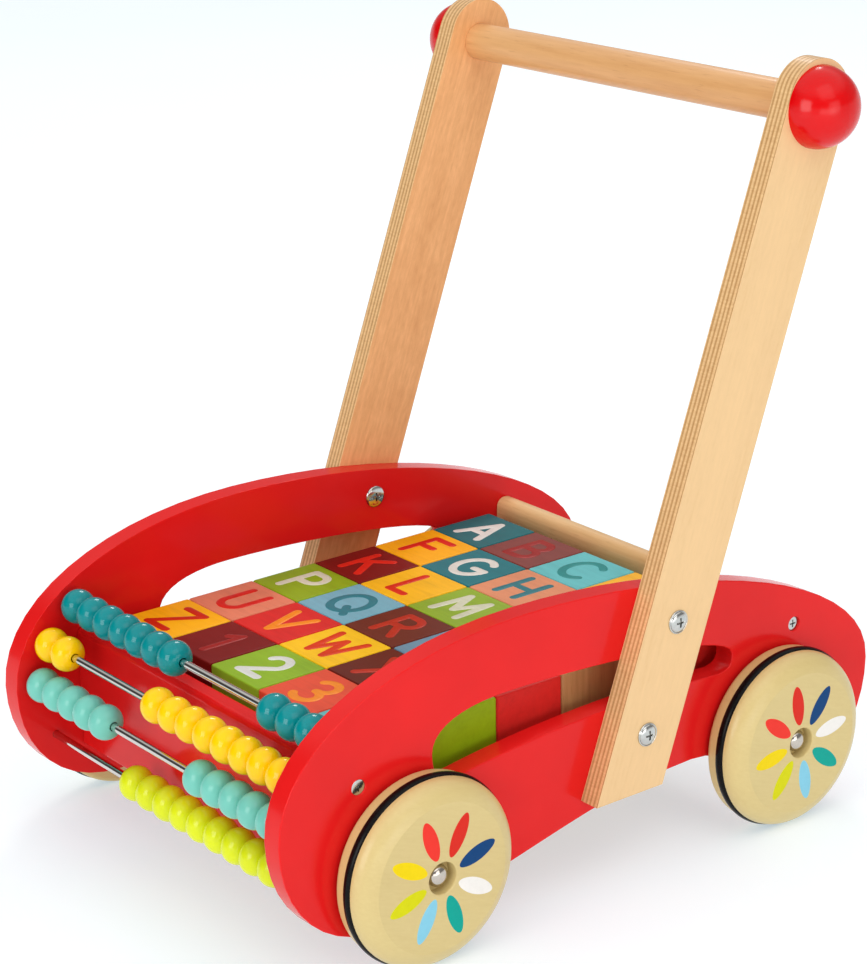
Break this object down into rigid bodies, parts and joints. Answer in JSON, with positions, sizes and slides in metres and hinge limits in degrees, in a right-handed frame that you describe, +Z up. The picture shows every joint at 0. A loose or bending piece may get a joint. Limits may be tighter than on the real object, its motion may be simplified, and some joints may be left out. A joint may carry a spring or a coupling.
{
  "type": "baby walker",
  "caption": "Wooden push walker: two side panels with a tray of letter blocks between, an abacus of beads at the front, and a leaning handle.",
  "frame": {"origin": "on the floor plane under the middle of the walker's bounding box", "axes": "+X to the walker's right hand side, +Y from the abacus at the front towards the handle, +Z up"},
  "size_m": [0.3394, 0.418, 0.4361],
  "materials": {
    "red_lacquer": "gloss lacquer on board",
    "natural_board": "clear satin lacquer",
    "plywood": "clear satin lacquer on birch plywood",
    "dowel": "clear satin lacquer",
    "knob_red": "gloss lacquer",
    "steel": "bright zinc plate",
    "chrome": "polished",
    "wheel_wood": "clear gloss lacquer",
    "rubber": "satin",
    "bead_teal": "gloss lacquer",
    "bead_yellow": "gloss lacquer",
    "bead_aqua": "gloss lacquer",
    "bead_lime": "gloss lacquer",
    "block_a": "satin paint",
    "block_b": "satin paint",
    "block_c": "satin paint",
    "block_d": "satin paint",
    "block_e": "satin paint",
    "block_f": "satin paint",
    "block_g": "satin paint",
    "block_h": "satin paint",
    "block_i": "satin paint",
    "block_j": "satin paint",
    "block_k": "satin paint",
    "block_l": "satin paint",
    "block_m": "satin paint",
    "block_n": "satin paint",
    "block_o": "satin paint",
    "block_p": "satin paint",
    "block_q": "satin paint",
    "block_r": "satin paint",
    "block_s": "satin paint",
    "block_t": "satin paint",
    "block_u": "satin paint",
    "block_v": "satin paint",
    "block_w": "satin paint",
    "block_x": "satin paint",
    "block_y": "satin paint",
    "block_z": "satin paint",
    "block_1": "satin paint",
    "block_2": "satin paint",
    "block_3": "satin paint",
    "block_4": "satin paint"
  },
  "bodies": {
    "frame": {"left_side_panel": "red_lacquer", "right_side_panel": "red_lacquer", "front_board": "red_lacquer", "rear_board": "natural_board", "tray_floor": "natural_board", "left_upright": "plywood", "right_upright": "plywood", "handle_bar": "dowel", "handle_knobs": "knob_red", "axles": "steel", "abacus_rods": "steel", "upright_bolts": "steel", "sleeve_nuts": "steel", "board_screws": "steel", "axle_caps": "chrome"},
    "front_left_wheel_body": {"front_left_wheel": "wheel_wood", "front_left_ring": "rubber"},
    "front_right_wheel_body": {"front_right_wheel": "wheel_wood", "front_right_ring": "rubber"},
    "rear_left_wheel_body": {"rear_left_wheel": "wheel_wood", "rear_left_ring": "rubber"},
    "rear_right_wheel_body": {"rear_right_wheel": "wheel_wood", "rear_right_ring": "rubber"},
    "top_beads_left_row": {"top_beads_left": "bead_teal"},
    "top_beads_right_row": {"top_beads_right": "bead_teal"},
    "second_beads_left_row": {"second_beads_left": "bead_yellow"},
    "second_beads_right_row": {"second_beads_right": "bead_yellow"},
    "third_beads_left_row": {"third_beads_left": "bead_aqua"},
    "third_beads_right_row": {"third_beads_right": "bead_aqua"},
    "bottom_beads_row": {"bottom_beads": "bead_lime"},
    "block_a_cube": {"block_a": "block_a"},
    "block_b_cube": {"block_b": "block_b"},
    "block_c_cube": {"block_c": "block_c"},
    "block_d_cube": {"block_d": "block_d"},
    "block_e_cube": {"block_e": "block_e"},
    "block_f_cube": {"block_f": "block_f"},
    "block_g_cube": {"block_g": "block_g"},
    "block_h_cube": {"block_h": "block_h"},
    "block_i_cube": {"block_i": "block_i"},
    "block_j_cube": {"block_j": "block_j"},
    "block_k_cube": {"block_k": "block_k"},
    "block_l_cube": {"block_l": "block_l"},
    "block_m_cube": {"block_m": "block_m"},
    "block_n_cube": {"block_n": "block_n"},
    "block_o_cube": {"block_o": "block_o"},
    "block_p_cube": {"block_p": "block_p"},
    "block_q_cube": {"block_q": "block_q"},
    "block_r_cube": {"block_r": "block_r"},
    "block_s_cube": {"block_s": "block_s"},
    "block_t_cube": {"block_t": "block_t"},
    "block_u_cube": {"block_u": "block_u"},
    "block_v_cube": {"block_v": "block_v"},
    "block_w_cube": {"block_w": "block_w"},
    "block_x_cube": {"block_x": "block_x"},
    "block_y_cube": {"block_y": "block_y"},
    "block_z_cube": {"block_z": "block_z"},
    "block_1_cube": {"block_1": "block_1"},
    "block_2_cube": {"block_2": "block_2"},
    "block_3_cube": {"block_3": "block_3"},
    "block_4_cube": {"block_4": "block_4"}
  },
  "joints": [
    {"name": "front_left_wheel_spin", "type": "hinge", "parent": "frame", "child": "front_left_wheel_body", "pos_m": [-0.148, -0.126, 0.0525], "axis": [1, 0, 0], "continuous": true},
    {"name": "front_right_wheel_spin", "type": "hinge", "parent": "frame", "child": "front_right_wheel_body", "pos_m": [0.148, -0.126, 0.0525], "axis": [1, 0, 0], "continuous": true},
    {"name": "rear_left_wheel_spin", "type": "hinge", "parent": "frame", "child": "rear_left_wheel_body", "pos_m": [-0.148, 0.131, 0.0525], "axis": [1, 0, 0], "continuous": true},
    {"name": "rear_right_wheel_spin", "type": "hinge", "parent": "frame", "child": "rear_right_wheel_body", "pos_m": [0.148, 0.131, 0.0525], "axis": [1, 0, 0], "continuous": true},
    {"name": "top_beads_left_slide", "type": "slide", "parent": "frame", "child": "top_beads_left_row", "axis": [1, 0, 0], "range_m": [0, 0.0381]},
    {"name": "top_beads_right_slide", "type": "slide", "parent": "frame", "child": "top_beads_right_row", "axis": [1, 0, 0], "range_m": [-0.0381, 0]},
    {"name": "second_beads_left_slide", "type": "slide", "parent": "frame", "child": "second_beads_left_row", "axis": [1, 0, 0], "range_m": [0, 0.0381]},
    {"name": "second_beads_right_slide", "type": "slide", "parent": "frame", "child": "second_beads_right_row", "axis": [1, 0, 0], "range_m": [-0.0381, 0]},
    {"name": "third_beads_left_slide", "type": "slide", "parent": "frame", "child": "third_beads_left_row", "axis": [1, 0, 0], "range_m": [0, 0.0381]},
    {"name": "third_beads_right_slide", "type": "slide", "parent": "frame", "child": "third_beads_right_row", "axis": [1, 0, 0], "range_m": [-0.0381, 0]},
    {"name": "bottom_beads_slide", "type": "slide", "parent": "frame", "child": "bottom_beads_row", "axis": [1, 0, 0], "range_m": [-0.0766, 0]},
    {"name": "block_a_lift", "type": "slide", "parent": "frame", "child": "block_a_cube", "axis": [0, 0, 1], "range_m": [0, 0.105]},
    {"name": "block_b_lift", "type": "slide", "parent": "frame", "child": "block_b_cube", "axis": [0, 0, 1], "range_m": [0, 0.105]},
    {"name": "block_c_lift", "type": "slide", "parent": "frame", "child": "block_c_cube", "axis": [0, 0, 1], "range_m": [0, 0.105]},
    {"name": "block_d_lift", "type": "slide", "parent": "frame", "child": "block_d_cube", "axis": [0, 0, 1], "range_m": [0, 0.105]},
    {"name": "block_e_lift", "type": "slide", "parent": "frame", "child": "block_e_cube", "axis": [0, 0, 1], "range_m": [0, 0.105]},
    {"name": "block_f_lift", "type": "slide", "parent": "frame", "child": "block_f_cube", "axis": [0, 0, 1], "range_m": [0, 0.105]},
    {"name": "block_g_lift", "type": "slide", "parent": "frame", "child": "block_g_cube", "axis": [0, 0, 1], "range_m": [0, 0.105]},
    {"name": "block_h_lift", "type": "slide", "parent": "frame", "child": "block_h_cube", "axis": [0, 0, 1], "range_m": [0, 0.105]},
    {"name": "block_i_lift", "type": "slide", "parent": "frame", "child": "block_i_cube", "axis": [0, 0, 1], "range_m": [0, 0.105]},
    {"name": "block_j_lift", "type": "slide", "parent": "frame", "child": "block_j_cube", "axis": [0, 0, 1], "range_m": [0, 0.105]},
    {"name": "block_k_lift", "type": "slide", "parent": "frame", "child": "block_k_cube", "axis": [0, 0, 1], "range_m": [0, 0.105]},
    {"name": "block_l_lift", "type": "slide", "parent": "frame", "child": "block_l_cube", "axis": [0, 0, 1], "range_m": [0, 0.105]},
    {"name": "block_m_lift", "type": "slide", "parent": "frame", "child": "block_m_cube", "axis": [0, 0, 1], "range_m": [0, 0.105]},
    {"name": "block_n_lift", "type": "slide", "parent": "frame", "child": "block_n_cube", "axis": [0, 0, 1], "range_m": [0, 0.105]},
    {"name": "block_o_lift", "type": "slide", "parent": "frame", "child": "block_o_cube", "axis": [0, 0, 1], "range_m": [0, 0.105]},
    {"name": "block_p_lift", "type": "slide", "parent": "frame", "child": "block_p_cube", "axis": [0, 0, 1], "range_m": [0, 0.105]},
    {"name": "block_q_lift", "type": "slide", "parent": "frame", "child": "block_q_cube", "axis": [0, 0, 1], "range_m": [0, 0.105]},
    {"name": "block_r_lift", "type": "slide", "parent": "frame", "child": "block_r_cube", "axis": [0, 0, 1], "range_m": [0, 0.105]},
    {"name": "block_s_lift", "type": "slide", "parent": "frame", "child": "block_s_cube", "axis": [0, 0, 1], "range_m": [0, 0.105]},
    {"name": "block_t_lift", "type": "slide", "parent": "frame", "child": "block_t_cube", "axis": [0, 0, 1], "range_m": [0, 0.105]},
    {"name": "block_u_lift", "type": "slide", "parent": "frame", "child": "block_u_cube", "axis": [0, 0, 1], "range_m": [0, 0.105]},
    {"name": "block_v_lift", "type": "slide", "parent": "frame", "child": "block_v_cube", "axis": [0, 0, 1], "range_m": [0, 0.105]},
    {"name": "block_w_lift", "type": "slide", "parent": "frame", "child": "block_w_cube", "axis": [0, 0, 1], "range_m": [0, 0.105]},
    {"name": "block_x_lift", "type": "slide", "parent": "frame", "child": "block_x_cube", "axis": [0, 0, 1], "range_m": [0, 0.105]},
    {"name": "block_y_lift", "type": "slide", "parent": "frame", "child": "block_y_cube", "axis": [0, 0, 1], "range_m": [0, 0.105]},
    {"name": "block_z_lift", "type": "slide", "parent": "frame", "child": "block_z_cube", "axis": [0, 0, 1], "range_m": [0, 0.105]},
    {"name": "block_1_lift", "type": "slide", "parent": "frame", "child": "block_1_cube", "axis": [0, 0, 1], "range_m": [0, 0.105]},
    {"name": "block_2_lift", "type": "slide", "parent": "frame", "child": "block_2_cube", "axis": [0, 0, 1], "range_m": [0, 0.105]},
    {"name": "block_3_lift", "type": "slide", "parent": "frame", "child": "block_3_cube", "axis": [0, 0, 1], "range_m": [0, 0.105]},
    {"name": "block_4_lift", "type": "slide", "parent": "frame", "child": "block_4_cube", "axis": [0, 0, 1], "range_m": [0, 0.105]}
  ]
}
